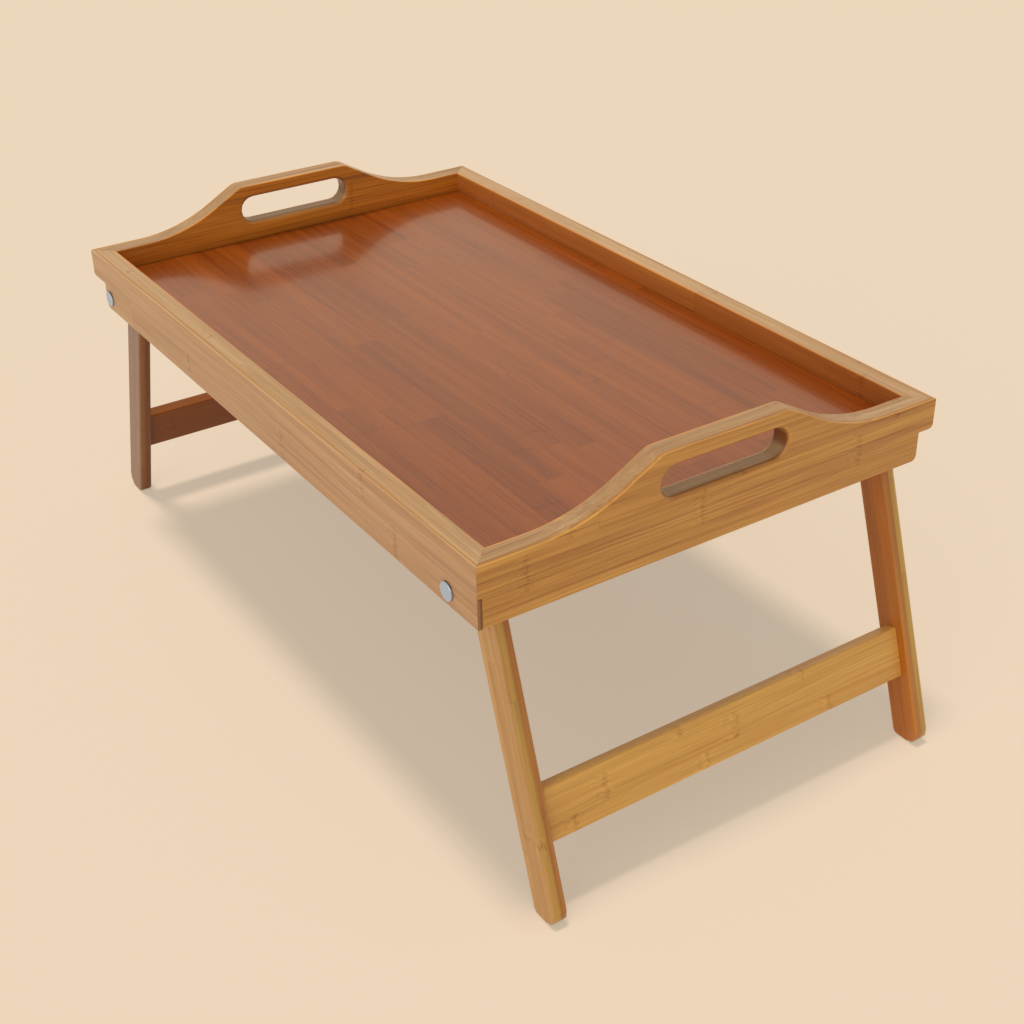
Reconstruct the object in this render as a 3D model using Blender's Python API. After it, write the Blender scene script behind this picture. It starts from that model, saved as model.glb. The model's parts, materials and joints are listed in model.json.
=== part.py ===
# Bamboo bed tray with two folding leg frames.
#
# The tray stands on the ground plane z = 0, with +Z up and its origin under its middle.
# +X is the front end and -Y the left side. The tray is the same after half a turn about Z:
# both rails are one part, both end panels are one part, and so are both leg frames.

import math

import bmesh
import bpy
from mathutils import Matrix, Vector

for leftover in list(bpy.data.objects):
    bpy.data.objects.remove(leftover)

mm = 0.001

# Whole tray
tray_length = 500 * mm          # over the end panels
tray_width = 306 * mm           # over the rails
rim_height = 211 * mm           # top of the rails above the ground
wall_depth = 36 * mm            # height of the rails
rail_thickness = 13.5 * mm
panel_thickness = 13.5 * mm

# Clearances
seat_gap = 0.3 * mm             # between pieces that touch or are glued
pin_clearance = 0.3 * mm        # around a shank or a dowel, on the radius
fold_clearance = 0.5 * mm       # between a folded leg and the tray board

# Tray board, held in grooves
board_recess = 14 * mm          # rim down to the board's top
board_thickness = 3.6 * mm
groove_depth = 5 * mm
tongue_relief = 0.4 * mm        # board's top down to the thinner tongue in the grooves

# Rounded edges of rails and panels
rim_radius = 3 * mm             # top edges and upright outside corners
lower_radius = 1.6 * mm         # bottom edges on the outside
inner_ease = 1 * mm             # bottom edges on the inside, and notch edges

# Corner joints: a mitre above, and below it a lap at two corners and an open notch at the others
mitre_depth = 18.4 * mm         # rim down to the foot of the mitre
lap_thickness = 2.5 * mm        # tongue of the rail that covers the panel's end at a closed corner
rail_notch = 20 * mm            # rail cut back at the two open corners
panel_notch = 11 * mm           # panel cut back at the two open corners
notch_radius = 3 * mm           # rounded corners beside a notch

# Raised grip of the end panels
grip_rise = 25.5 * mm           # top of the grip above the rim
grip_flat = 80 * mm             # flat top between the shoulders
shoulder_radius = 10 * mm
sweep_angle = math.radians(29)  # steepest slope beside the grip
sweep_radius = 110 * mm         # hollow curve that runs out into the rim
slot_length = 84 * mm
slot_height = 18 * mm
slot_rise = 7.7 * mm            # middle of the slot above the rim
slot_radius = 2.8 * mm          # rounded mouth of the slot

# Leg frames
splay = math.radians(18)        # how far the legs lean outwards when they stand
leg_inner = 9.4 * mm            # pivot to the leg's inboard edge
leg_outer = 10.6 * mm           # pivot to the leg's outboard edge
leg_thickness = 9 * mm
leg_edge = 1.2 * mm             # rounding of the legs' long edges
heel_radius = 4 * mm            # inboard corner of the foot
toe_radius = 8 * mm             # outboard corner of the foot
pivot_depth = 27.5 * mm         # rim down to the pivot
bar_height = 31 * mm
bar_thickness = 9 * mm
bar_drop = 118 * mm             # pivot to the bar's top edge, down the leg
bar_edge = 1 * mm

# Dowels that join the bars to the legs
dowel_diameter = 5 * mm
dowel_in_leg = 6 * mm
dowel_in_bar = 12 * mm
dowel_spacing = 16 * mm

# Pivot hardware
shank_diameter = 5 * mm
head_diameter = 10.8 * mm
head_height = 1 * mm
head_edge = 0.4 * mm
spacer_diameter = 12 * mm
spacer_thickness = 1.8 * mm     # keeps the leg clear of the rail
washer_diameter = 10 * mm
washer_thickness = 1.2 * mm
nut_across_flats = 8 * mm
nut_height = 3.6 * mm
dome_diameter = 7.4 * mm
dome_height = 3.4 * mm
nut_bore_depth = 5 * mm

# Smoothness of round shapes
edge_steps = 3
curve_steps = 8
pin_sides = 16
head_sides = 24
hexagon_sides = 6
smooth_angle = math.radians(35) # faces that meet at less than this are shaded as one

# Places that follow from the sizes
half_length = tray_length / 2
half_width = tray_width / 2
inner_panel_x = half_length - panel_thickness
inner_rail_y = half_width - rail_thickness
board_underside = board_recess + board_thickness
tongue_top = board_recess + tongue_relief
pivot_z = rim_height - pivot_depth
leg_outside = inner_rail_y - spacer_thickness - 2 * seat_gap
leg_inside = leg_outside - leg_thickness
leg_top = min(leg_inner, pivot_depth - board_underside - fold_clearance)
bar_middle = (leg_outer - leg_inner) / 2
bar_centre = bar_drop + bar_height / 2
bore_diameter = shank_diameter + 2 * pin_clearance
nut_seat = leg_inside - washer_thickness - 2 * seat_gap

# A standing leg leans on the eased inside bottom edge of the end panel
ease_reach = inner_ease * (math.cos(splay) + math.sin(splay) - 1)
stop_rise = (wall_depth - pivot_depth) * math.sin(splay)
pivot_x = inner_panel_x - (leg_outer + seat_gap - ease_reach + stop_rise) / math.cos(splay)

quarter = math.pi / 2
tiny = 0.01 * mm                # below this, two places are one
past = 5 * mm                   # how far a cutting shape runs past the wood


def material(name, colour, roughness, metallic=0.0):
    made = bpy.data.materials.new(name)
    made.use_nodes = True
    shader = made.node_tree.nodes["Principled BSDF"]
    shader.inputs["Base Color"].default_value = (*colour, 1.0)
    shader.inputs["Roughness"].default_value = roughness
    shader.inputs["Metallic"].default_value = metallic
    return made


def solid(name, bm):
    """Put a shape into the scene as a named object."""
    bmesh.ops.recalc_face_normals(bm, faces=bm.faces)
    mesh = bpy.data.meshes.new(name)
    bm.to_mesh(mesh)
    bm.free()
    made = bpy.data.objects.new(name, mesh)
    bpy.context.scene.collection.objects.link(made)
    return made


def settle(thing):
    """Make the shape that the modifiers give the object's own mesh."""
    graph = bpy.context.evaluated_depsgraph_get()
    shaped = bpy.data.meshes.new_from_object(thing.evaluated_get(graph))
    thing.modifiers.clear()
    thing.data = shaped


def combine(thing, bm, operation="DIFFERENCE"):
    """Cut a shape out of an object, or weld it on."""
    tool = solid("tool", bm)
    step = thing.modifiers.new("combine", "BOOLEAN")
    step.operation = operation
    step.solver = "EXACT"
    step.object = tool
    settle(thing)
    bpy.data.objects.remove(tool)


def round_edges(thing, radius_of):
    """Round each edge by the radius that its two ends give it."""
    mesh = thing.data
    radii = [radius_of(*(mesh.vertices[index].co for index in edge.vertices)) for edge in mesh.edges]
    weights = mesh.attributes.new("bevel_weight_edge", "FLOAT", "EDGE")
    weights.data.foreach_set("value", [radius / max(radii) for radius in radii])
    step = thing.modifiers.new("round", "BEVEL")
    step.limit_method = "WEIGHT"
    step.width = max(radii)
    step.segments = edge_steps
    settle(thing)


def finish(thing, coat):
    """Give an object its material and smooth shading."""
    thing.data.materials.clear()
    thing.data.materials.append(coat)
    thing.data.shade_smooth()
    thing.data.set_sharp_from_angle(angle=smooth_angle)


def place(thing, location, turn=0.0, parent=None):
    thing.location = location
    thing.rotation_euler.z = turn
    thing.parent = parent


def copy_of(thing, name):
    made = thing.copy()
    made.name = name
    bpy.context.scene.collection.objects.link(made)
    return made


def prism(outline, low_y, high_y):
    """An outline of (x, z) points, extruded along Y."""
    bm = bmesh.new()
    base = bm.faces.new([bm.verts.new((x, low_y, z)) for x, z in outline])
    grown = bmesh.ops.extrude_face_region(bm, geom=[base])
    moved = [item for item in grown["geom"] if isinstance(item, bmesh.types.BMVert)]
    bmesh.ops.translate(bm, vec=(0, high_y - low_y, 0), verts=moved)
    return bm


def upright(outline, low_z, high_z):
    """An outline of (x, y) points, extruded along Z."""
    bm = prism([(x, -y) for x, y in outline], low_z, high_z)
    bmesh.ops.rotate(bm, cent=(0, 0, 0), matrix=Matrix.Rotation(quarter, 3, "X"), verts=bm.verts)
    return bm


def box(low, high):
    bm = bmesh.new()
    low, high = Vector(low), Vector(high)
    size = Matrix.Diagonal((*(high - low), 1.0))
    bmesh.ops.create_cube(bm, size=1.0, matrix=Matrix.Translation((low + high) / 2) @ size)
    return bm


def rod(diameter, low_y, high_y, x=0.0, z=0.0, sides=pin_sides):
    """A round or many-sided bar along Y."""
    bm = bmesh.new()
    middle = Matrix.Translation((x, (low_y + high_y) / 2, z)) @ Matrix.Rotation(quarter, 4, "X")
    bmesh.ops.create_cone(bm, cap_ends=True, segments=sides, radius1=diameter / 2,
                          radius2=diameter / 2, depth=high_y - low_y, matrix=middle)
    return bm


def turned(profile):
    """A profile of (radius, y) points, from axis to axis, spun about Y."""
    bm = bmesh.new()
    verts = [bm.verts.new((radius, y, 0.0)) for radius, y in profile]
    edges = [bm.edges.new(pair) for pair in zip(verts, verts[1:])]
    bmesh.ops.spin(bm, geom=verts + edges, cent=(0, 0, 0), axis=(0, 1, 0), angle=math.tau,
                   steps=head_sides, use_merge=True)
    bmesh.ops.remove_doubles(bm, verts=bm.verts, dist=tiny)
    return bm


def arc(centre, radius, start, end, steps):
    """Points on a circle, from one angle to another."""
    angles = [start + (end - start) * step / steps for step in range(steps + 1)]
    return [(centre[0] + radius * math.cos(a), centre[1] + radius * math.sin(a)) for a in angles]


def rounded(corners):
    """The outline of (x, z, radius) corners, each drawn as an arc of its radius."""
    outline = []
    for index, (x, z, radius) in enumerate(corners):
        if radius == 0:
            outline.append((x, z))
            continue
        here = Vector((x, z))
        before = (Vector(corners[index - 1][:2]) - here).normalized()
        after = (Vector(corners[(index + 1) % len(corners)][:2]) - here).normalized()
        half = before.angle(after) / 2
        centre = here + (before + after).normalized() * radius / math.sin(half)
        first = here + before * radius / math.tan(half) - centre
        last = here + after * radius / math.tan(half) - centre
        start = math.atan2(first.y, first.x)
        sweep = math.remainder(math.atan2(last.y, last.x) - start, math.tau)
        outline += arc(centre, radius, start, start + sweep, edge_steps)
    return outline


def mitre(board, half, thickness, neighbour, end):
    """Cut one end of a board on the slant where it meets its neighbour, down to the mitre's foot."""
    slant = neighbour / thickness
    inset = seat_gap / 2 * math.hypot(1, slant)
    low_y, high_y = -past, thickness + past
    outline = [(half - low_y * slant - inset, low_y), (half - high_y * slant - inset, high_y),
               (half + 2 * past, high_y), (half + 2 * past, low_y)]
    combine(board, upright([(end * x, y) for x, y in outline], -mitre_depth - seat_gap, past))


def wall(name, half, thickness, neighbour, top, notch, closed_cut):
    """A board on edge: x along it, y = 0 on its outside, z = 0 at the rim, closed corner at +x."""
    corners = [(x, z, 0) for x, z in top] + [(half, -mitre_depth, 0)]
    if closed_cut:
        corners.append((half - closed_cut, -mitre_depth, 0))
    corners += [(half - closed_cut, -wall_depth, 0),
                (notch - half, -wall_depth, notch_radius),
                (notch - half, -mitre_depth, 0),
                (-half, -mitre_depth, notch_radius)]
    board = solid(name, prism(rounded(corners), 0, thickness))

    def radius_of(first, second):
        outside = max(first.y, second.y) < tiny
        inside = min(first.y, second.y) > thickness - tiny
        on_top = min(first.z, second.z) > -tiny
        at_end = min(abs(first.x), abs(second.x)) > half - tiny
        below_mitre = max(first.z, second.z) < tiny - mitre_depth
        low = max(first.z, second.z) < notch_radius - wall_depth + tiny
        if at_end and outside and below_mitre:
            return inner_ease
        if at_end and (outside or on_top) or on_top and (outside or inside):
            return rim_radius
        if at_end:
            return 0
        if outside and low:
            return lower_radius
        return inner_ease if outside or inside else 0

    round_edges(board, radius_of)
    for end in (1, -1):
        mitre(board, half, thickness, neighbour, end)
    combine(board, box((-half - past, thickness - groove_depth, -board_underside - seat_gap),
                       (half + past, thickness + past, seat_gap - tongue_top)))
    return board


def make_rail(name):
    rail = wall(name, half_length, rail_thickness, panel_thickness,
                [(-half_length, 0), (half_length, 0)], rail_notch, 0)
    combine(rail, box((half_length - panel_thickness - seat_gap, lap_thickness, -wall_depth - past),
                      (half_length + past, rail_thickness + past, -mitre_depth)))
    for x in (-pivot_x, pivot_x):
        combine(rail, rod(bore_diameter, -past, rail_thickness + past, x, -pivot_depth))
    finish(rail, material("Rail bamboo", (0.55, 0.34, 0.19), 0.38))
    return rail


def grip_outline():
    """The top of an end panel: rim, hollow sweep, shoulder, flat, and the same again."""
    shoulder_drop = shoulder_radius * (1 - math.cos(sweep_angle))
    hollow_rise = sweep_radius * (1 - math.cos(sweep_angle))
    slope = (grip_rise - shoulder_drop - hollow_rise) / math.tan(sweep_angle)
    shoulder_reach = grip_flat / 2 + shoulder_radius * math.sin(sweep_angle)
    run_out = shoulder_reach + slope + sweep_radius * math.sin(sweep_angle)
    hollow = arc((run_out, sweep_radius), sweep_radius, -quarter, -quarter - sweep_angle, curve_steps)
    shoulder = arc((grip_flat / 2, grip_rise - shoulder_radius), shoulder_radius,
                   quarter - sweep_angle, quarter, edge_steps)
    side = [(half_width, 0)] + hollow + shoulder
    return [(-x, z) for x, z in side] + side[::-1]


def slot_shape():
    """The hand slot, a stadium that flares into a rounded mouth on both faces."""
    turns = [quarter * step / edge_steps for step in range(edge_steps + 1)]
    mouth = [(slot_radius * (1 - math.cos(t)), slot_radius * (1 - math.sin(t))) for t in turns]
    sections = [(-past, slot_radius)] + mouth
    sections += [(panel_thickness - depth, spread) for depth, spread in reversed(sections)]
    reach = (slot_length - slot_height) / 2
    bm = bmesh.new()
    rings = []
    for y, spread in sections:
        radius = slot_height / 2 + spread
        outline = arc((reach, slot_rise), radius, -quarter, quarter, curve_steps)
        outline += [(-x, z) for x, z in outline[::-1]]
        verts = [bm.verts.new((x, y, z)) for x, z in outline]
        rings.append([bm.edges.new(pair) for pair in zip(verts, verts[1:] + verts[:1])])
    for ring, following in zip(rings, rings[1:]):
        bmesh.ops.bridge_loops(bm, edges=ring + following)
    bmesh.ops.holes_fill(bm, edges=rings[0] + rings[-1])
    return bm


def make_end_panel(name):
    panel = wall(name, half_width, panel_thickness, rail_thickness, grip_outline(), panel_notch,
                 lap_thickness + seat_gap)
    combine(panel, slot_shape())
    panel.data.transform(Matrix.Diagonal((-1, 1, 1, 1)))
    panel.data.flip_normals()
    finish(panel, material("End panel bamboo", (0.47, 0.25, 0.11), 0.34))
    return panel


def make_board(name):
    """A field between the walls, and round it a thinner tongue that sits in their grooves."""
    reach_x = inner_panel_x + groove_depth - seat_gap
    reach_y = inner_rail_y + groove_depth - seat_gap
    bm = box((-reach_x, -reach_y, rim_height - board_underside),
             (reach_x, reach_y, rim_height - tongue_top))
    field = max(bm.faces, key=lambda face: face.calc_center_median().z)
    bmesh.ops.inset_region(bm, faces=[field], thickness=groove_depth, use_even_offset=True)
    raised = bmesh.ops.extrude_discrete_faces(bm, faces=[field])["faces"][0]
    bmesh.ops.translate(bm, vec=(0, 0, tongue_relief), verts=raised.verts)
    board = solid(name, bm)
    finish(board, material("Dark tray bamboo", (0.12, 0.035, 0.015), 0.22))


def dowel_heights():
    return [-bar_centre - dowel_spacing / 2, -bar_centre + dowel_spacing / 2]


def make_leg(name, side, coat):
    """Leg in its frame's own place: pivot at the origin, x outboard, side -1 left or 1 right."""
    def foot(x):
        return -(pivot_z + x * math.sin(splay)) / math.cos(splay)

    turns = [quarter * step / curve_steps for step in range(curve_steps + 1)]
    outboard = [(leg_outer * math.cos(t), leg_top * math.sin(t), 0) for t in turns]
    inboard = [(-leg_inner * math.sin(t), leg_top * math.cos(t), 0) for t in turns]
    feet = [(-leg_inner, foot(-leg_inner), heel_radius), (leg_outer, foot(leg_outer), toe_radius)]
    low_y, high_y = sorted((side * leg_outside, side * leg_inside))
    leg = solid(name, prism(rounded(outboard + inboard[1:] + feet), low_y, high_y))
    round_edges(leg, lambda first, second: leg_edge if abs(first.y - second.y) < tiny else 0)
    combine(leg, rod(bore_diameter, low_y - past, high_y + past))
    hole_y = sorted((side * (leg_inside + dowel_in_leg + seat_gap), side * (leg_inside - past)))
    for z in dowel_heights():
        combine(leg, rod(dowel_diameter + 2 * pin_clearance, *hole_y, bar_middle, z))
    finish(leg, coat)
    return leg


def make_cross_bar(name, coat):
    reach = leg_inside - seat_gap
    bar = solid(name, box((bar_middle - bar_thickness / 2, -reach, -bar_drop - bar_height),
                          (bar_middle + bar_thickness / 2, reach, -bar_drop)))
    round_edges(bar, lambda first, second: bar_edge if abs(first.y - second.y) > tiny else 0)
    for side in (-1, 1):
        hole_y = sorted((side * (reach - dowel_in_bar - seat_gap), side * (reach + past)))
        for z in dowel_heights():
            combine(bar, rod(dowel_diameter + 2 * pin_clearance, *hole_y, bar_middle, z))
    finish(bar, coat)
    return bar


def make_dowel(name, side, z, coat):
    ends = sorted((side * (leg_inside + dowel_in_leg), side * (leg_inside - seat_gap - dowel_in_bar)))
    dowel = solid(name, rod(dowel_diameter, *ends, bar_middle, z))
    finish(dowel, coat)
    return dowel


def make_bolt(name):
    """Pivot bolt of the left side: flat round head outside the rail, shank into the cap nut."""
    under_head = -half_width - seat_gap
    top = under_head - head_height
    shank_end = nut_bore_depth - seat_gap - nut_seat
    rim = arc((head_diameter / 2 - head_edge, top + head_edge), head_edge, -quarter, 0, edge_steps)
    bolt = solid(name, turned([(0, top)] + rim + [(head_diameter / 2, under_head),
                                                 (shank_diameter / 2, under_head),
                                                 (shank_diameter / 2, shank_end),
                                                 (0, shank_end)]))
    finish(bolt, material("Bolt steel", (0.62, 0.64, 0.68), 0.3, 1.0))
    return bolt


def make_washer(name, diameter, low_y, high_y, coat):
    washer = solid(name, rod(diameter, low_y, high_y, sides=head_sides))
    combine(washer, rod(bore_diameter, low_y - past, high_y + past))
    finish(washer, coat)
    return washer


def make_cap_nut(name):
    """Cap nut of the left side: a hexagon with a dome, and a blind bore for the shank."""
    hexagon_end = nut_height - nut_seat
    across_corners = nut_across_flats / math.cos(math.pi / hexagon_sides)
    nut = solid(name, rod(across_corners, -nut_seat, hexagon_end, sides=hexagon_sides))
    dome_radius = dome_diameter / 2
    turns = [quarter * step / curve_steps for step in range(curve_steps)]
    dome = [(dome_radius * math.cos(t), hexagon_end + dome_height * math.sin(t)) for t in turns]
    inside_hexagon = hexagon_end - nut_height / 2
    profile = [(0, inside_hexagon), (dome_radius, inside_hexagon)] + dome + [(0, hexagon_end + dome_height)]
    combine(nut, turned(profile), "UNION")
    combine(nut, rod(bore_diameter, -nut_seat - past, nut_bore_depth - nut_seat))
    finish(nut, material("Nut steel", (0.6, 0.6, 0.62), 0.32, 1.0))
    return nut


def build_tray():
    rail = make_rail("rail_left")
    place(rail, (0, -half_width, rim_height))
    place(copy_of(rail, "rail_right"), (0, half_width, rim_height), math.pi)
    panel = make_end_panel("end_panel_front")
    place(panel, (half_length, 0, rim_height), quarter)
    place(copy_of(panel, "end_panel_rear"), (-half_length, 0, rim_height), -quarter)
    make_board("tray_board")


def make_pivot(name, x, turn):
    """The axis of a leg frame, which leans outwards as the frame stands."""
    pivot = bpy.data.objects.new(name, None)
    bpy.context.scene.collection.objects.link(pivot)
    pivot.location = (x, 0, pivot_z)
    pivot.rotation_euler = (0, -splay, turn)
    return pivot


def build_leg_frames():
    """Both frames are one part, so what is on the front frame's left is on the rear one's right."""
    leg_bamboo = material("Leg bamboo", (0.5, 0.28, 0.13), 0.36)
    dowel_wood = material("Dowel wood", (0.62, 0.45, 0.28), 0.6)
    bar = make_cross_bar("cross_bar_front", material("Cross bar bamboo", (0.46, 0.25, 0.12), 0.36))
    pieces = [(bar, "cross_bar_rear")]
    for side, here, opposite in ((-1, "left", "right"), (1, "right", "left")):
        pieces.append((make_leg(f"leg_front_{here}", side, leg_bamboo), f"leg_rear_{opposite}"))
        for z, level in zip(dowel_heights(), ("lower", "upper")):
            dowel = make_dowel(f"bar_dowel_front_{here}_{level}", side, z, dowel_wood)
            pieces.append((dowel, f"bar_dowel_rear_{opposite}_{level}"))
    front = make_pivot("leg_frame_front", pivot_x, 0)
    rear = make_pivot("leg_frame_rear", -pivot_x, math.pi)
    for piece, rear_name in pieces:
        place(copy_of(piece, rear_name), (0, 0, 0), 0, rear)
        place(piece, (0, 0, 0), 0, front)


def build_pivots():
    rail_face = -inner_rail_y + seat_gap
    washer_face = -leg_inside + seat_gap
    nylon = material("Spacer nylon", (0.75, 0.74, 0.7), 0.5)
    steel = material("Washer steel", (0.6, 0.6, 0.62), 0.35, 1.0)
    hardware = {"pivot_bolt": make_bolt("pivot_bolt_front_left"),
                "spacer_washer": make_washer("spacer_washer_front_left", spacer_diameter,
                                             rail_face, rail_face + spacer_thickness, nylon),
                "nut_washer": make_washer("nut_washer_front_left", washer_diameter,
                                          washer_face, washer_face + washer_thickness, steel),
                "cap_nut": make_cap_nut("cap_nut_front_left")}
    for kind, first in hardware.items():
        for end, x in (("front", pivot_x), ("rear", -pivot_x)):
            for side, turn in (("left", 0), ("right", math.pi)):
                is_first = end == "front" and side == "left"
                piece = first if is_first else copy_of(first, f"{kind}_{end}_{side}")
                place(piece, (x, 0, pivot_z), turn)


build_tray()
build_leg_frames()
build_pivots()
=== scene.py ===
import json
import math
from functools import partial

import bmesh
import bpy
from mathutils import Matrix, Vector


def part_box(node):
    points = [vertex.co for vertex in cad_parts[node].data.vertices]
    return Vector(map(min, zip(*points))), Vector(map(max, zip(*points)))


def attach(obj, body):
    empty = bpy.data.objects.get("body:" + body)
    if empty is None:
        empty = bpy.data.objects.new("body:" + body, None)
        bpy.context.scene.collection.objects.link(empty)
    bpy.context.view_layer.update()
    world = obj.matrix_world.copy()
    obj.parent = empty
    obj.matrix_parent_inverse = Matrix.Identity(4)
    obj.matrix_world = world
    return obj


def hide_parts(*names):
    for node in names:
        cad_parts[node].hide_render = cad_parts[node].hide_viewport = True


# Bamboo bed tray with folding legs: finished pieces, materials, light and camera.
# Lengths are in metres, or in millimetres where a comment says so.

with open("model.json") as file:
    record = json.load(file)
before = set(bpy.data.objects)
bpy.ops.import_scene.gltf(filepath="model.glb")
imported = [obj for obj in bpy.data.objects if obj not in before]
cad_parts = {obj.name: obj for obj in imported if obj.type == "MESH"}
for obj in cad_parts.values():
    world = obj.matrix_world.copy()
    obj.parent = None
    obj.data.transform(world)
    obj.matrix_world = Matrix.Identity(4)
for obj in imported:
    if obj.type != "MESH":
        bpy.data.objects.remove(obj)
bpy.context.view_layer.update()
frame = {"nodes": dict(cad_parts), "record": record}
nodes = frame["nodes"]
record = frame["record"]
scene = bpy.context.scene
bodyOf = {node: body for body, members in record["behaviour"]["bodies"].items() for node in members}
mm = 0.001
print("frame loaded,", len(nodes), "nodes")


def linearColour(code):  # sRGB hex to the linear values that shader sockets take
    channels = [int(code[place:place + 2], 16) / 255 for place in (1, 3, 5)]
    return [c / 12.92 if c <= 0.04045 else ((c + 0.055) / 1.055) ** 2.4 for c in channels] + [1.0]


# inputs are values, sockets, or nodes that stand for their first output: in order, or by name or number
def addNode(tree, kind, inputs=(), **settings):
    node = tree.nodes.new("ShaderNode" + kind)
    for name, value in settings.items():
        setattr(node, name, value)
    pairs = inputs.items() if isinstance(inputs, dict) else enumerate(inputs)
    for socket, value in pairs:
        if isinstance(value, bpy.types.Node):
            value = value.outputs[0]
        if isinstance(value, bpy.types.NodeSocket):
            tree.links.new(value, node.inputs[socket])
        else:
            node.inputs[socket].default_value = value
    return node


def newMaterial(name):  # an empty material, and addNode for its tree
    made = bpy.data.materials.new(name)
    made.use_nodes = True
    made.node_tree.nodes.clear()
    return made, partial(addNode, made.node_tree)


# Camera, fitted to the tray's edges in the photograph
cameraSettings = {
    "place": (0.78145, -0.47857, 0.61276),
    "azimuth": 56.910,      # degrees, from -Y towards +X
    "elevation": 30.791,    # degrees
    "roll": -1.033,         # degrees
    "lens": 55.516,         # millimetres, like the sensor
    "sensor": 36,
    "nearest": 0.01,        # what lies nearer isn't drawn
}


def makeCamera():
    azimuth, elevation, roll = (math.radians(cameraSettings[key]) for key in ("azimuth", "elevation", "roll"))
    back = Vector((math.sin(azimuth) * math.cos(elevation), -math.cos(azimuth) * math.cos(elevation),
                   math.sin(elevation)))
    right = Vector((math.cos(azimuth), math.sin(azimuth), 0))
    up = back.cross(right)
    tiltedRight = right * math.cos(roll) + up * math.sin(roll)
    tiltedUp = up * math.cos(roll) - right * math.sin(roll)
    turn = Matrix((tiltedRight, tiltedUp, back)).transposed().to_4x4()
    camera = bpy.data.objects.new("camera", bpy.data.cameras.new("camera"))
    camera.data.lens = cameraSettings["lens"]
    camera.data.sensor_width = cameraSettings["sensor"]
    camera.data.clip_start = cameraSettings["nearest"]
    camera.matrix_world = Matrix.Translation(cameraSettings["place"]) @ turn
    scene.collection.objects.link(camera)
    scene.camera = camera


# Floor, world and lamps: a pale sweep under a narrow overhead lamp, with soft light from the camera's left
stageSettings = {
    "floorHalf": 6.0,       # from the origin to each side
    "floorColour": "#EDD7BC",
    "shadowShare": (0.525, 0.478, 0.448),  # how much of the floor's red, green and blue the shadow can take
    "skyShare": 0.3,        # share of the light on the floor that comes from all round
}
lampKinds = {  # share of the floor's light, degrees across, off the vertical and round from -Y
    # and whether gloss shows the lamp: seen from above, the narrow one would be a white disc on the board
    "overheadLamp": {"share": 0.56, "across": 10, "tilt": 7.8, "heading": 295, "mirrored": False},
    "sideLamp": {"share": 0.14, "across": 60, "tilt": 55, "heading": 32, "mirrored": True},
}


def whatIsSeen(add):  # 1 for rays that show the background, 0 for those that only light something
    path = add("LightPath").outputs
    direct = add("Math", (path["Is Camera Ray"], path["Is Glossy Ray"]), operation="MAXIMUM")
    return add("Math", (direct, path["Is Transmission Ray"]), operation="MAXIMUM")


def paperSweep():  # matt paper: no gloss, and a part of its colour glows, so that the shadow stays light
    paleColour = linearColour(stageSettings["floorColour"])
    lit = [share * channel for share, channel in zip(stageSettings["shadowShare"], paleColour)]
    kept = [channel - part for channel, part in zip(paleColour, lit)]
    coat, add = newMaterial("Matt paper sweep")
    lighting = add("BsdfDiffuse", {"Color": paleColour})
    shadowed = add("BsdfPrincipled", {
        "Base Color": lit + [1.0], "Roughness": 1.0, "Specular IOR Level": 0.0,
        "Emission Color": kept + [1.0], "Emission Strength": 1.0})
    both = add("MixShader", (whatIsSeen(add), lighting, shadowed))
    add("OutputMaterial", {"Surface": both})
    return coat


def makeFloor():
    floor = bpy.data.objects.new("floor", bpy.data.meshes.new("floor"))
    shape = bmesh.new()
    bmesh.ops.create_grid(shape, x_segments=1, y_segments=1, size=stageSettings["floorHalf"])
    shape.to_mesh(floor.data)
    shape.free()
    scene.collection.objects.link(floor)
    floor.data.materials.append(paperSweep())


def makeWorld():  # white light from all round, and the floor's colour where the background shows
    world = bpy.data.worlds.new("studio")
    world.use_nodes = True
    world.node_tree.nodes.clear()
    add = partial(addNode, world.node_tree)
    light = add("Background", {"Color": (1, 1, 1, 1), "Strength": stageSettings["skyShare"]})
    backdrop = add("Background", {"Color": linearColour(stageSettings["floorColour"]), "Strength": 1.0})
    both = add("MixShader", (whatIsSeen(add), light, backdrop))
    add("OutputWorld", {"Surface": both})
    scene.world = world


def makeLamps():
    for name, kind in lampKinds.items():
        tilt = math.radians(kind["tilt"])
        lamp = bpy.data.objects.new(name, bpy.data.lights.new(name, "SUN"))
        lamp.data.energy = kind["share"] * math.pi / math.cos(tilt)
        lamp.data.angle = math.radians(kind["across"])
        lamp.rotation_euler = (tilt, 0, math.radians(kind["heading"]))
        lamp.visible_glossy = kind["mirrored"]
        scene.collection.objects.link(lamp)


# Bamboo: strips glued side by side in plies. Its lengths are in millimetres, apart from reliefHeight.
# along is the way the fibres run, across goes over the strips' width, and shift slides the pattern along,
# across and through them. plies gives the colours by the depth under the outer face, which lies at outside
# from the origin on axis (0 x, 1 y, 2 z). A cross bar leans, so it has no such axis, and its shift puts
# depth 0 on its face towards +X. strip, ply and piece are a strip's width, a ply's thickness and a piece's
# length. knuckles is the distance from one to the next on a strip, and knucklesLeft the share that shows.
# bands, streaks, fibres, lines and pieces say how strongly each tells, and end is the colour of cut fibres.
leanAngle = math.radians(18)
leanSin, leanCos = math.sin(leanAngle), math.cos(leanAngle)
barOuterFace, barInnerFace = 273.5, 264.5    # from the origin, square to the bars

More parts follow.
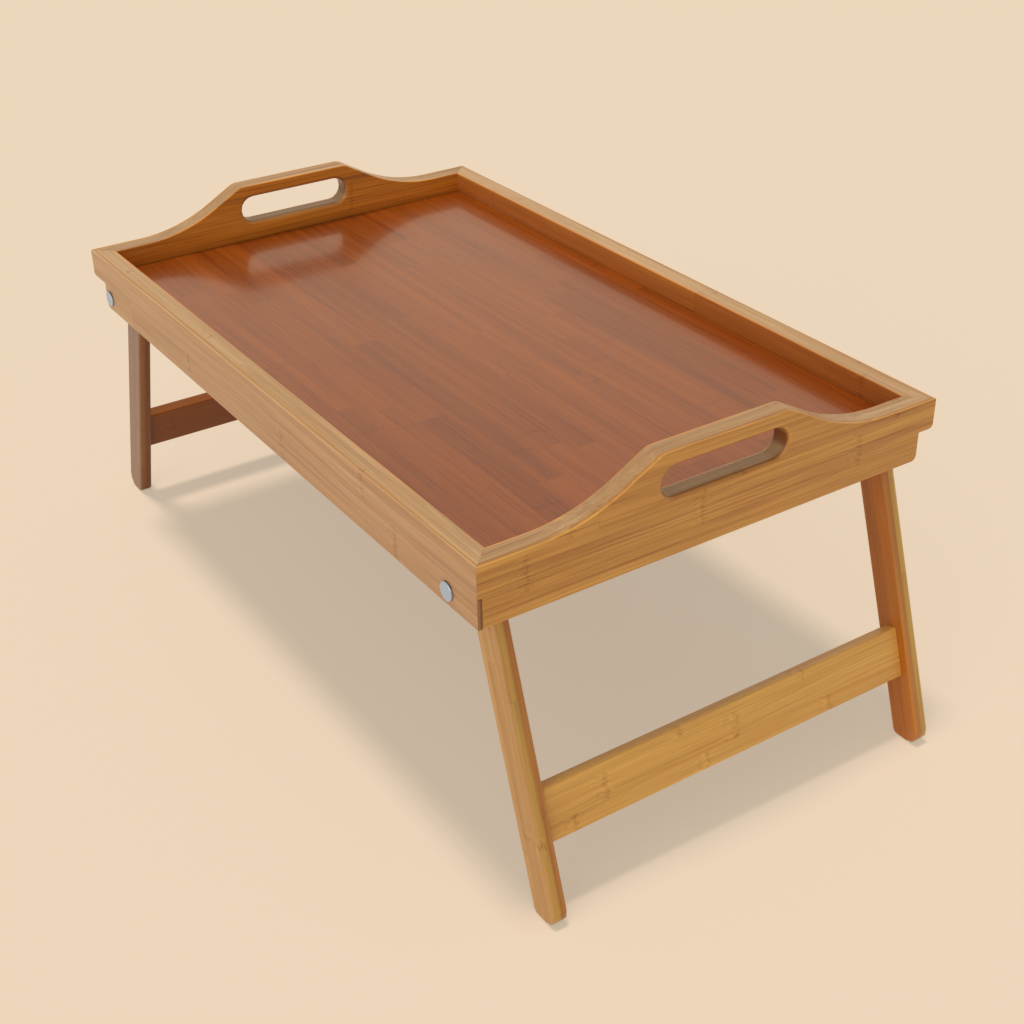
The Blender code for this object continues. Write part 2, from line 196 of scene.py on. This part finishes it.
bambooKinds = {
    "rail": {  # lightly carbonised, satin lacquer: pinkish tan, browner at the outer rounding, orange inside
        "along": (1, 0, 0), "across": (0, 0, 1), "axis": 1, "outside": 153,
        "plies": ((0, "#C99969"), (0.9, "#C99969"), (1.5, "#A8743A"), (2.3, "#B5854A"), (3.6, "#BD9364"),
                  (12.2, "#BB9264"), (13.3, "#CC7E33")),
        "strip": 19, "ply": 4.7, "piece": 900, "knuckles": 130, "knucklesLeft": 0.45,
        "bands": 0.5, "streaks": 0.6, "fibres": 0.3, "lines": 0.15, "pieces": 0.1,
        "end": "#9A5E2E", "roughness": 0.4, "coat": 0.25, "coatRoughness": 0.28, "shift": (0, 3, 0),
    },
    "panel": {  # the same boards with warmer strips: golden, with dark fibre lines
        "along": (0, 1, 0), "across": (0, 0, 1), "axis": 0, "outside": 250,
        "plies": ((0, "#CC913F"), (0.9, "#CC913F"), (1.5, "#A86E30"), (2.3, "#AC7A40"), (3.6, "#AE8557"),
                  (12.2, "#AC8357"), (13.3, "#D58527")),
        "strip": 21, "ply": 4.7, "piece": 900, "knuckles": 110, "knucklesLeft": 0.5,
        "bands": 0.9, "streaks": 0.8, "fibres": 0.35, "lines": 0.35, "pieces": 0.1,
        "end": "#7E4A20", "roughness": 0.38, "coat": 0.25, "coatRoughness": 0.26, "shift": (40, 11, 0),
    },
    "board": {  # one ply, carbonised dark, gloss lacquer: orange brown, hazed by what it mirrors
        "along": (1, 0, 0), "across": (0, 1, 0), "axis": 2, "outside": 197, "plies": ((0, "#873D08"),),
        "strip": 18, "ply": 30, "piece": 210, "knuckles": 105, "knucklesLeft": 0.6,
        "bands": 0.8, "streaks": 0.8, "fibres": 0.35, "lines": 0.2, "pieces": 0.22,
        "end": "#5A2C12", "roughness": 0.3, "coat": 0.6, "coatRoughness": 0.12, "shift": (0, 5, 0),
    },
    "legFront": {  # laminated strip: light tan outer ply, orange brown inner one
        "along": (leanSin, 0, -leanCos), "across": (leanCos, 0, leanSin), "axis": 1, "outside": 137.1,
        "plies": ((0, "#CF9C56"), (0.7, "#CF9C56"), (1.5, "#D0A651"), (4.6, "#C89845"), (5.4, "#B06E28"),
                  (8.2, "#BC7C34"), (9.0, "#C5751F")),
        "strip": 10, "ply": 4.7, "piece": 900, "knuckles": 120, "knucklesLeft": 0.5,
        "bands": 0.5, "streaks": 0.6, "fibres": 0.3, "lines": 0.15, "pieces": 0.1,
        "end": "#8A5628", "roughness": 0.4, "coat": 0.25, "coatRoughness": 0.28, "shift": (20, 0, 0),
    },
    "legRear": {  # painted shade from the tray above: darker than the front legs, greyish brown outside, dark brown inside
        "along": (-leanSin, 0, -leanCos), "across": (leanCos, 0, -leanSin), "axis": 1, "outside": 137.1,
        "plies": ((0, "#946E59"), (0.7, "#946E59"), (1.5, "#9E6533"), (4.6, "#8E5422"), (5.4, "#7C4618"),
                  (9.0, "#8A5020")),
        "strip": 10, "ply": 4.7, "piece": 900, "knuckles": 120, "knucklesLeft": 0.3,
        "bands": 0.35, "streaks": 0.5, "fibres": 0.3, "lines": 0.15, "pieces": 0.1,
        "end": "#5E3618", "roughness": 0.4, "coat": 0.25, "coatRoughness": 0.28, "shift": (60, 0, 0),
    },
    "barFront": {  # golden laminated strip
        "along": (0, 1, 0), "across": (leanSin, 0, -leanCos), "plies": ((0, "#DFA851"),),
        "strip": 15.5, "ply": 4.7, "piece": 900, "knuckles": 90, "knucklesLeft": 0.7,
        "bands": 0.45, "streaks": 0.5, "fibres": 0.3, "lines": 0.08, "pieces": 0.06,
        "end": "#9A6A34", "roughness": 0.4, "coat": 0.25, "coatRoughness": 0.28,
        "shift": (30, 4, barOuterFace),
    },
    "barRear": {  # painted shade from the tray above, as on the rear legs: darker than the front bar
        "along": (0, 1, 0), "across": (-leanSin, 0, -leanCos), "plies": ((0, "#8A480D"),),
        "strip": 15.5, "ply": 4.7, "piece": 900, "knuckles": 90, "knucklesLeft": 0.3,
        "bands": 0.35, "streaks": 0.5, "fibres": 0.3, "lines": 0.1, "pieces": 0.08,
        "end": "#5E3618", "roughness": 0.45, "coat": 0.1, "coatRoughness": 0.28,
        "shift": (50, 4, -barInnerFace),
    },
}
bambooPatterns = {  # how far a blotch reaches along, across and through the wood, its detail and roughness
    "bands": ((190, 5.0, 5.0), 3, 0.55),    # older and younger wood
    "streaks": ((75, 1.3, 1.3), 4, 0.6),    # bundles of fibres
    "fibres": ((16, 0.42, 0.42), 2, 0.6),   # fine fibres, drawn coarser than they are, to show
    "lines": ((150, 1.0, 1.0), 2, 0.5),     # dark fibres
    "hues": ((40, 9, 9), 2, 0.5),           # yellower and redder wood
    "edges": ((5, 1.8, 1.8), 3, 0.7),       # the ragged edge of a knuckle
    "specks": ((5.5, 1.0, 1.0), 2, 0.7),    # light and dark specks in a knuckle
}
bambooShape = {
    "deepest": 20,                  # depth at the far end of the colour ramp
    "skinMargin": 0.25,             # keeps a face that lies at depth 0 in the first ply
    "otherSide": 7,                 # plies that opposite pieces are counted apart, so that they differ
    "bendLength": (160, 60, 60),    # the stalk never grew quite straight, so the fibres wander
    "bendDetail": 1.0,
    "bendReach": (0, 5.0, 1.6),     # they stray by up to half of this either way
    "pieceShift": (300, 90, 90),    # each piece slides in the pattern by random shares of this
    "darkFibre": (-0.08, -0.2),     # where on their noise the dark fibres start and are full
}
knuckleSettings = {  # how far a mark lies from the ring, and how far from its middle it ends and is full
    "patch": (0, (9.0, 2.5)),
    "line": (2.5, (1.8, 0.4)),
    "ragged": 12,           # the ring strays by up to half of this either way
    "specks": 1.3,          # strength of the specks in a patch
    "lineDarkness": 0.25,
}
glueSettings = {  # lines about half a millimetre wide, coarser than real ones, to show
    "edge": (0.34, 0.12),                       # from the seam to where a line ends and is full
    "ply": 0.1, "strip": 0.1, "piece": 0.2,     # darkness of the lines between them
}
toneSettings = {
    "slant": (0.12, 0.55),              # where a slant starts and is full: 0 along the fibres, 1 across
    "slantEvening": 0.6,                # how far sanding and lacquer even the tone of such a cut out
    "endCut": (0.78, 0.97),             # where end grain starts and is full, counted in the same way
    "endShare": 0.8,                    # how much of its own colour it takes
    "waver": 3.0,                       # the bands move the plies' colours by up to half of this in depth
    "hueTint": (0, 0.12, 0.3),          # how much the hues change red, green and blue
    "grainTint": (0.55, 0.8, 1.05),     # a darker fibre is also a redder one
    "darkest": (0.25, 0.25, 0.25),      # the least share of a ply's colour that the grain leaves
}
lacquerSettings = {
    "index": 1.5,           # of refraction
    "streakSpan": 0.2, "smoother": 0.05, "rougher": 0.07,   # roughness follows the streaks
    "fibreHeight": 0.5, "glueDepth": 1.6, "relief": 0.12, "reliefHeight": 0.2 * mm,
}


def blotches(add, place, name):  # a noise about zero
    reach, detail, rough = bambooPatterns[name]
    scaled = add("VectorMath", (place, [1 / length for length in reach]), operation="MULTIPLY")
    found = add("TexNoise", {"Vector": scaled, "Scale": 1.0, "Detail": detail, "Roughness": rough})
    return add("Math", (found.outputs["Fac"], 0.5), operation="SUBTRACT")


def inCells(add, place, size, start):  # a place counted in cells of this size, from their own start
    return add("Math", (add("Math", (place, size), operation="DIVIDE"), start), operation="ADD")


def cellRandom(add, *keys):  # a random value and colour for each cell
    return add("TexWhiteNoise", {"Vector": add("CombineXYZ", keys)}).outputs


def glueLine(add, cells, size):  # 1 on the seam between two cells, 0 away from it
    inCell = add("Math", (cells,), operation="FRACT")
    toNext = add("Math", (1.0, inCell), operation="SUBTRACT")
    nearest = add("Math", (inCell, toNext), operation="MINIMUM")
    away = add("Math", (nearest, size), operation="MULTIPLY")
    return add("MapRange", (away, *glueSettings["edge"]), interpolation_type="SMOOTHSTEP")


def bambooCells(add, place, kind):  # which ply, strip and piece a point lies in, and where in the pattern
    along, across = Vector(kind["along"]), Vector(kind["across"])
    turn = Matrix((along, across, along.cross(across)))
    straight = add("Mapping", {"Vector": place, "Location": kind["shift"], "Rotation": turn.to_euler(),
                               "Scale": (1 / mm, 1 / mm, 1 / mm)})
    lengthwise, crosswise, inward = add("SeparateXYZ", (straight,)).outputs
    depth, otherSide = inward, 0
    if "outside" in kind:
        fromOrigin = add("SeparateXYZ", (place,)).outputs[kind["axis"]]
        distance = add("Math", (fromOrigin,), operation="ABSOLUTE")
        depth = add("Math", (distance, -1 / mm, kind["outside"]), operation="MULTIPLY_ADD")
        isOther = add("Math", (fromOrigin, 0), operation="GREATER_THAN")
        otherSide = add("Math", (isOther, bambooShape["otherSide"]), operation="MULTIPLY")

    underSkin = add("Math", (depth, bambooShape["skinMargin"]), operation="ADD")
    plyPlace = add("Math", (underSkin, kind["ply"]), operation="DIVIDE")
    ply = add("Math", (add("Math", (plyPlace,), operation="FLOOR"), otherSide), operation="ADD")
    plyRandom = add("TexWhiteNoise", {"W": ply}, noise_dimensions="1D").outputs["Value"]
    stripPlace = inCells(add, crosswise, kind["strip"], plyRandom)
    strip = add("Math", (stripPlace,), operation="FLOOR")
    stripRandom = cellRandom(add, strip, ply)["Value"]
    piecePlace = inCells(add, lengthwise, kind["piece"], stripRandom)
    pieceRandom = cellRandom(add, strip, ply, add("Math", (piecePlace,), operation="FLOOR"))

    slowly = [1 / length for length in bambooShape["bendLength"]]
    bend = add("TexNoise", {"Vector": add("VectorMath", (straight, slowly), operation="MULTIPLY"),
                            "Scale": 1.0, "Detail": bambooShape["bendDetail"]})
    offset = add("VectorMath", (bend.outputs["Color"], (0.5, 0.5, 0.5)), operation="SUBTRACT")
    wandered = add("VectorMath", (offset, bambooShape["bendReach"], straight), operation="MULTIPLY_ADD")
    own = add("VectorMath", (pieceRandom["Color"], bambooShape["pieceShift"], wandered),
              operation="MULTIPLY_ADD")

    glue = 0.0
    for part, cells in (("ply", plyPlace), ("strip", stripPlace), ("piece", piecePlace)):
        shade = add("Math", (glueLine(add, cells, kind[part]), glueSettings[part]), operation="MULTIPLY")
        glue = add("Math", (glue, shade), operation="MAXIMUM")
    return {"depth": depth, "lengthwise": lengthwise, "ply": ply, "strip": strip, "stripRandom": stripRandom,
            "pieceRandom": pieceRandom["Value"], "own": own, "glue": glue}


def knuckleMarks(add, cells, kind):  # where the stalk had its rings: on some strips, specks and a line
    ringPlace = inCells(add, cells["lengthwise"], kind["knuckles"], cells["stripRandom"])
    ring = add("Math", (ringPlace,), operation="FLOOR")
    ringRandom = cellRandom(add, cells["strip"], ring, cells["ply"])["Value"]
    shown = add("Math", (ringRandom, kind["knucklesLeft"]), operation="LESS_THAN")
    inRing = add("Math", (add("Math", (ringPlace,), operation="FRACT"), 0.5), operation="SUBTRACT")
    edges = blotches(add, cells["own"], "edges")
    ragged = add("Math", (edges, knuckleSettings["ragged"]), operation="MULTIPLY")
    fromRing = add("Math", (inRing, kind["knuckles"], ragged), operation="MULTIPLY_ADD")
    marks = []
    for place, edge in (knuckleSettings["patch"], knuckleSettings["line"]):
        offset = add("Math", (fromRing, place), operation="SUBTRACT")
        away = add("Math", (offset,), operation="ABSOLUTE")
        mark = add("MapRange", (away, *edge), interpolation_type="SMOOTHSTEP")
        marks.append(add("Math", (shown, mark), operation="MULTIPLY"))
    patch, line = marks
    specks = add("Math", (blotches(add, cells["own"], "specks"), patch), operation="MULTIPLY")
    return specks, line


def plyColours(add, depth, plies):
    ramp = add("ValToRGB", (add("Math", (depth, bambooShape["deepest"]), operation="DIVIDE"),))
    ramp.color_ramp.elements[0].color = linearColour(plies[0][1])
    ramp.color_ramp.elements[1].color = linearColour(plies[-1][1])
    for start, code in plies[1:]:
        ramp.color_ramp.elements.new(start / bambooShape["deepest"]).color = linearColour(code)
    return ramp


def bambooMaterial(name, kind):
    coat, add = newMaterial(name)
    coordinates = add("TexCoord").outputs
    cells = bambooCells(add, coordinates["Object"], kind)
    bands, streaks, fibres, lines, hues = (
        blotches(add, cells["own"], pattern) for pattern in ("bands", "streaks", "fibres", "lines", "hues"))
    darkFibres = add("MapRange", (lines, *bambooShape["darkFibre"]), interpolation_type="SMOOTHSTEP")
    pieceTone = add("Math", (cells["pieceRandom"], 0.5), operation="SUBTRACT")
    specks, ringLine = knuckleMarks(add, cells, kind)

    tone = 0.0
    for pattern, strength in (
            (bands, kind["bands"] * 2), (streaks, kind["streaks"] * 2), (fibres, kind["fibres"]),
            (pieceTone, kind["pieces"] * 2), (darkFibres, -kind["lines"]),
            (specks, knuckleSettings["specks"]), (ringLine, -knuckleSettings["lineDarkness"])):
        tone = add("Math", (pattern, strength, tone), operation="MULTIPLY_ADD")
    tone = add("Math", (tone, cells["glue"]), operation="SUBTRACT")

    squareness = add("VectorMath", (coordinates["Normal"], kind["along"]), operation="DOT_PRODUCT")
    facing = add("Math", (squareness.outputs["Value"],), operation="ABSOLUTE")
    slanting = add("MapRange", (facing, *toneSettings["slant"]), interpolation_type="SMOOTHSTEP")
    evening = add("Math", (slanting, -toneSettings["slantEvening"], 1.0), operation="MULTIPLY_ADD")
    tone = add("Math", (tone, evening), operation="MULTIPLY")

    # The ply's colour is tinted by the grain, and darkens where fibres end
    wavered = add("Math", (bands, toneSettings["waver"], cells["depth"]), operation="MULTIPLY_ADD")
    plain = plyColours(add, wavered, kind["plies"])
    tinted = add("VectorMath", (hues, toneSettings["hueTint"], (1, 1, 1)), operation="MULTIPLY_ADD")
    grain = add("VectorMath", (tone, toneSettings["grainTint"], tinted), operation="MULTIPLY_ADD")
    grain = add("VectorMath", (grain, toneSettings["darkest"]), operation="MAXIMUM")
    stained = add("VectorMath", (plain, grain), operation="MULTIPLY")
    ended = add("MapRange", (facing, *toneSettings["endCut"]), interpolation_type="SMOOTHSTEP")
    endGrain = add("Math", (ended, toneSettings["endShare"]), operation="MULTIPLY")
    # 6 and 7 are the two colours that go into a Mix node, and 2 is the one that comes out
    colour = add("Mix", {0: endGrain, 6: stained, 7: linearColour(kind["end"])}, data_type="RGBA").outputs[2]

    span = lacquerSettings["streakSpan"]
    roughness = add("MapRange", (streaks, -span, span, kind["roughness"] - lacquerSettings["smoother"],
                                 kind["roughness"] + lacquerSettings["rougher"]))
    raised = add("Math", (fibres, lacquerSettings["fibreHeight"]), operation="MULTIPLY")
    sunk = add("Math", (cells["glue"], lacquerSettings["glueDepth"]), operation="MULTIPLY")
    bump = add("Bump", {"Height": add("Math", (raised, sunk), operation="SUBTRACT"),
                        "Strength": lacquerSettings["relief"], "Distance": lacquerSettings["reliefHeight"]})
    shader = add("BsdfPrincipled", {
        "Base Color": colour, "Roughness": roughness, "Normal": bump, "IOR": lacquerSettings["index"],
        "Coat Weight": kind["coat"], "Coat Roughness": kind["coatRoughness"],
        "Coat IOR": lacquerSettings["index"]})
    add("OutputMaterial", {"Surface": shader})
    return coat


# Turned and pressed steel with a zinc coat: cool grey or bluish, a little dull
metalKinds = {
    "boltSteel": {"colour": "#B6D0F0", "roughness": 0.32, "wear": 0.08},  # blue passivated
    "washerSteel": {"colour": "#BDBFC4", "roughness": 0.34, "wear": 0.1},
}
zincMottle = {"perMetre": 900.0, "detail": 3.0, "relief": 0.06, "reliefHeight": 0.1 * mm}  # 1.1 mm blotches


def zincSteel(name, kind):
    coat, add = newMaterial(name)
    mottle = add("TexNoise", {"Vector": add("TexCoord").outputs["Object"], "Scale": zincMottle["perMetre"],
                              "Detail": zincMottle["detail"]}).outputs["Fac"]
    roughness = add("MapRange", {"Value": mottle, "To Min": kind["roughness"] - kind["wear"],
                                 "To Max": kind["roughness"] + kind["wear"]})
    bump = add("Bump", {"Height": mottle, "Strength": zincMottle["relief"],
                        "Distance": zincMottle["reliefHeight"]})
    shader = add("BsdfPrincipled", {
        "Base Color": linearColour(kind["colour"]), "Metallic": 1.0, "Roughness": roughness, "Normal": bump})
    add("OutputMaterial", {"Surface": shader})
    return coat


# Nylon and bare wood, without a coat
dullKinds = {
    "spacerNylon": {"colour": "#E4E1D8", "roughness": 0.5},  # moulded nylon: milky, faintly waxy
    "dowelWood": {"colour": "#D8BC92", "roughness": 0.62},   # turned birch, left bare: pale and dry
}
dullCloud = {"perMetre": 400.0, "detail": 2.0, "strays": 0.06}  # clouds 2.5 mm wide, in the roughness alone


def dullMaterial(name, kind):
    coat, add = newMaterial(name)
    cloud = add("TexNoise", {"Vector": add("TexCoord").outputs["Object"], "Scale": dullCloud["perMetre"],
                             "Detail": dullCloud["detail"]}).outputs["Fac"]
    roughness = add("MapRange", {"Value": cloud, "To Min": kind["roughness"] - dullCloud["strays"],
                                 "To Max": kind["roughness"] + dullCloud["strays"]})
    shader = add("BsdfPrincipled", {"Base Color": linearColour(kind["colour"]), "Roughness": roughness})
    add("OutputMaterial", {"Surface": shader})
    return coat


mitreSettings = {"outerX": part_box("end_panel_front")[1][0], "outerY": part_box("rail_right")[1][1],
                 "gap": 0.35 * mm, "closing": 0.4}  # 0.4 on each way leaves a fifth of the gap, a glue line
skinSettings = {
    "merge": 0.01 * mm,     # points nearer than this are one
    "flat": 0.4,            # degrees: faces that meet at less become one
    "sharp": 38,            # degrees: edges that turn more stay crisp
}


def closeMitres(shape):  # the corners are glued, so the gap that keeps the CAD boards apart is drawn in
    for vert in shape.verts:
        inX = mitreSettings["outerX"] - abs(vert.co.x)
        inY = mitreSettings["outerY"] - abs(vert.co.y)
        if abs(inX - inY) < mitreSettings["gap"]:
            move = (inX - inY) * mitreSettings["closing"]
            vert.co.x += move * math.copysign(1, vert.co.x)
            vert.co.y -= move * math.copysign(1, vert.co.y)


def pieceName(node):
    first, *rest = node.split("_")
    return first + "".join(word.capitalize() for word in rest)


def finishPiece(node, coat):  # the node's own shape as one smooth skin
    made = bpy.data.objects.new(pieceName(node), bpy.data.meshes.new(pieceName(node)))
    shape = bmesh.new()
    shape.from_mesh(nodes[node].data)
    bmesh.ops.remove_doubles(shape, verts=shape.verts, dist=skinSettings["merge"])
    bmesh.ops.dissolve_limit(shape, angle_limit=math.radians(skinSettings["flat"]), verts=shape.verts,
                             edges=shape.edges)
    if node.startswith(("rail", "end_panel")):
        closeMitres(shape)
    shape.to_mesh(made.data)
    shape.free()
    made.data.materials.clear()
    made.data.materials.append(coat)
    made.data.shade_smooth()
    made.data.set_sharp_from_angle(angle=math.radians(skinSettings["sharp"]))
    made.modifiers.new("flats", "WEIGHTED_NORMAL").keep_sharp = True
    scene.collection.objects.link(made)
    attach(made, bodyOf[node])
    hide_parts(node)


makeCamera()
makeFloor()
makeWorld()
makeLamps()
scene.view_settings.view_transform = "Standard"
print("camera, floor and light made")

railBamboo = bambooMaterial("Lightly carbonised bamboo rail, satin lacquer", bambooKinds["rail"])
panelBamboo = bambooMaterial("Carbonised bamboo end panel, satin lacquer", bambooKinds["panel"])
boardBamboo = bambooMaterial("Dark carbonised bamboo board, gloss lacquer", bambooKinds["board"])
frontLegBamboo = bambooMaterial("Laminated bamboo leg, light", bambooKinds["legFront"])
rearLegBamboo = bambooMaterial("Laminated bamboo leg, dark", bambooKinds["legRear"])
frontBarBamboo = bambooMaterial("Laminated bamboo cross bar, golden", bambooKinds["barFront"])
rearBarBamboo = bambooMaterial("Laminated bamboo cross bar, dark", bambooKinds["barRear"])
boltSteel = zincSteel("Zinc plated bolt steel", metalKinds["boltSteel"])
washerSteel = zincSteel("Zinc plated washer steel", metalKinds["washerSteel"])
spacerNylon = dullMaterial("Moulded nylon", dullKinds["spacerNylon"])
dowelWood = dullMaterial("Turned birch dowel", dullKinds["dowelWood"])
print("materials made")

finishes = {  # how a node's name starts, and its material
    "rail": railBamboo, "end_panel": panelBamboo, "tray_board": boardBamboo,
    "leg_front": frontLegBamboo, "leg_rear": rearLegBamboo,
    "cross_bar_front": frontBarBamboo, "cross_bar_rear": rearBarBamboo, "bar_dowel": dowelWood,
    "pivot_bolt": boltSteel, "spacer_washer": spacerNylon, "nut_washer": washerSteel, "cap_nut": washerSteel,
}
for node in sorted(nodes):
    finishPiece(node, next(coat for start, coat in finishes.items() if node.startswith(start)))
print("pieces finished")
